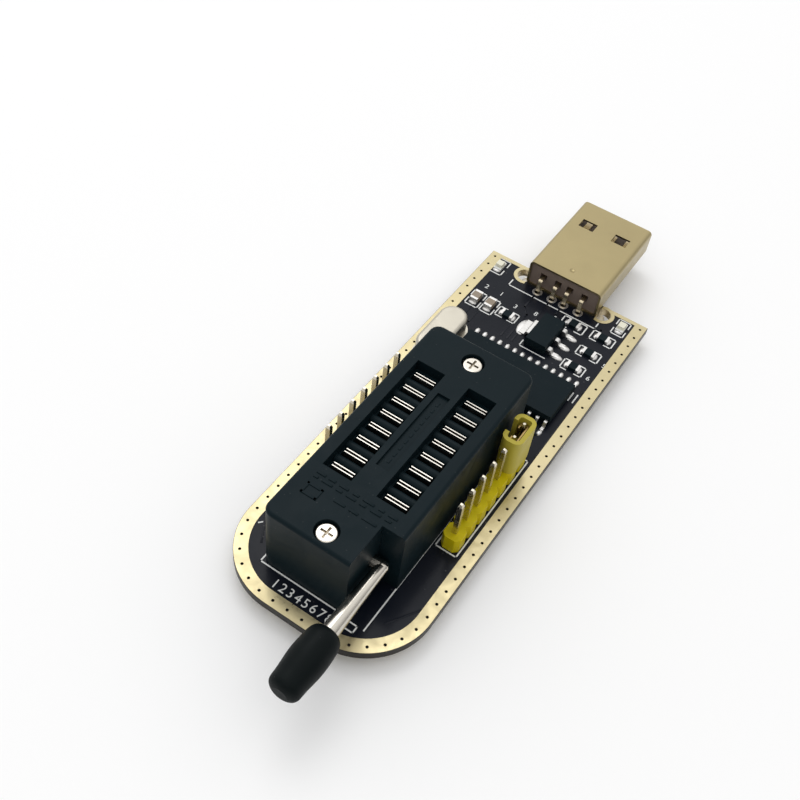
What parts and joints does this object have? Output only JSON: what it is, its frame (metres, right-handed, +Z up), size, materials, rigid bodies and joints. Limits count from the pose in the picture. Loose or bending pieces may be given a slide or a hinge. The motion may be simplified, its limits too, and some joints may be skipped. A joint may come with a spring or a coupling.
{
  "type": "usb chip programmer",
  "caption": "Stick-shaped circuit board with a lever-operated zero-insertion-force chip socket, a USB-A plug at one end and a pin header with jumper along each side.",
  "frame": {"origin": "middle of the overall footprint, at the level on which the ends of the soldered leads stand", "axes": "+Y from the lever knob towards the USB plug's tip, +Z up through the board out of the socket's top, +X across the board to the right"},
  "size_m": [0.027, 0.0946, 0.0141],
  "materials": {
    "solder_mask": "glossy black solder mask over glass-epoxy board",
    "gold_plating": "bare gold-plated copper, satin",
    "gilt_shell": "pale gilt steel, satin",
    "plug_plastic": "grey-brown moulded plastic",
    "gold_contact": "gold-flashed contact strip",
    "socket_plastic": "black glass-filled moulding, fine satin",
    "contact_metal": "tin-nickel plated spring strip",
    "nickel": "nickel plated steel",
    "knob_plastic": "matt black moulded grip",
    "yellow_plastic": "yellow moulded header strip",
    "pin_metal": "flash-gold square pins",
    "jumper_plastic": "pale yellow moulding",
    "clip_brass": "brass spring strip",
    "chip_plastic": "black epoxy moulding compound",
    "tinned_lead": "tinned lead and solder",
    "can_metal": "satin nickel can",
    "seat_plastic": "insulating washer",
    "ceramic_buff": "buff ceramic",
    "led_white": "white lamp base",
    "led_lens": "milky resin lens"
  },
  "bodies": {
    "root": {"bridge_chip": "chip_plastic", "bridge_chip_leads": "tinned_lead", "capacitor_bodies": "ceramic_buff", "capacitor_ends": "tinned_lead", "circuit_board": "solder_mask", "crystal_can": "can_metal", "crystal_leads": "tinned_lead", "crystal_seat": "seat_plastic", "gold_border_bottom": "gold_plating", "gold_border_top": "gold_plating", "header_body_left": "yellow_plastic", "header_body_right": "yellow_plastic", "header_pins_left": "pin_metal", "header_pins_right": "pin_metal", "led_base_left": "led_white", "led_base_right": "led_white", "led_lens_left": "led_lens", "led_lens_right": "led_lens", "regulator": "chip_plastic", "regulator_leads": "tinned_lead", "resistor_bodies": "chip_plastic", "resistor_ends": "tinned_lead", "usb_contact_1": "gold_contact", "usb_contact_2": "gold_contact", "usb_contact_3": "gold_contact", "usb_contact_4": "gold_contact", "usb_housing": "plug_plastic", "usb_shell": "gilt_shell", "zif_base": "socket_plastic", "zif_contact_01": "contact_metal", "zif_contact_02": "contact_metal", "zif_contact_03": "contact_metal", "zif_contact_04": "contact_metal", "zif_contact_05": "contact_metal", "zif_contact_06": "contact_metal", "zif_contact_07": "contact_metal", "zif_contact_08": "contact_metal", "zif_contact_09": "contact_metal", "zif_contact_10": "contact_metal", "zif_contact_11": "contact_metal", "zif_contact_12": "contact_metal", "zif_contact_13": "contact_metal", "zif_contact_14": "contact_metal", "zif_contact_15": "contact_metal", "zif_contact_16": "contact_metal", "zif_cover": "socket_plastic", "zif_screws": "nickel"},
    "lever": {"zif_lever": "nickel", "zif_lever_knob": "knob_plastic"},
    "slide_plate": {"zif_slide_plate": "socket_plastic"},
    "jumper": {"jumper_cap": "jumper_plastic", "jumper_clip": "clip_brass"}
  },
  "joints": [
    {"name": "lever_swing", "type": "hinge", "parent": "root", "child": "lever", "pos_m": [0.0059, -0.0281, 0.0081], "axis": [-1, 0, 0], "range_deg": [0, 90]},
    {"name": "plate_slide", "type": "slide", "parent": "root", "child": "slide_plate", "axis": [0, 1, 0], "range_m": [0, 0.00071]},
    {"name": "jumper_lift", "type": "slide", "parent": "root", "child": "jumper", "axis": [0, 0, 1], "range_m": [0, 0.008]}
  ],
  "couplings": [
    {"joint": "plate_slide", "follows": "lever_swing", "m_per_rad": 0.00045016}
  ]
}
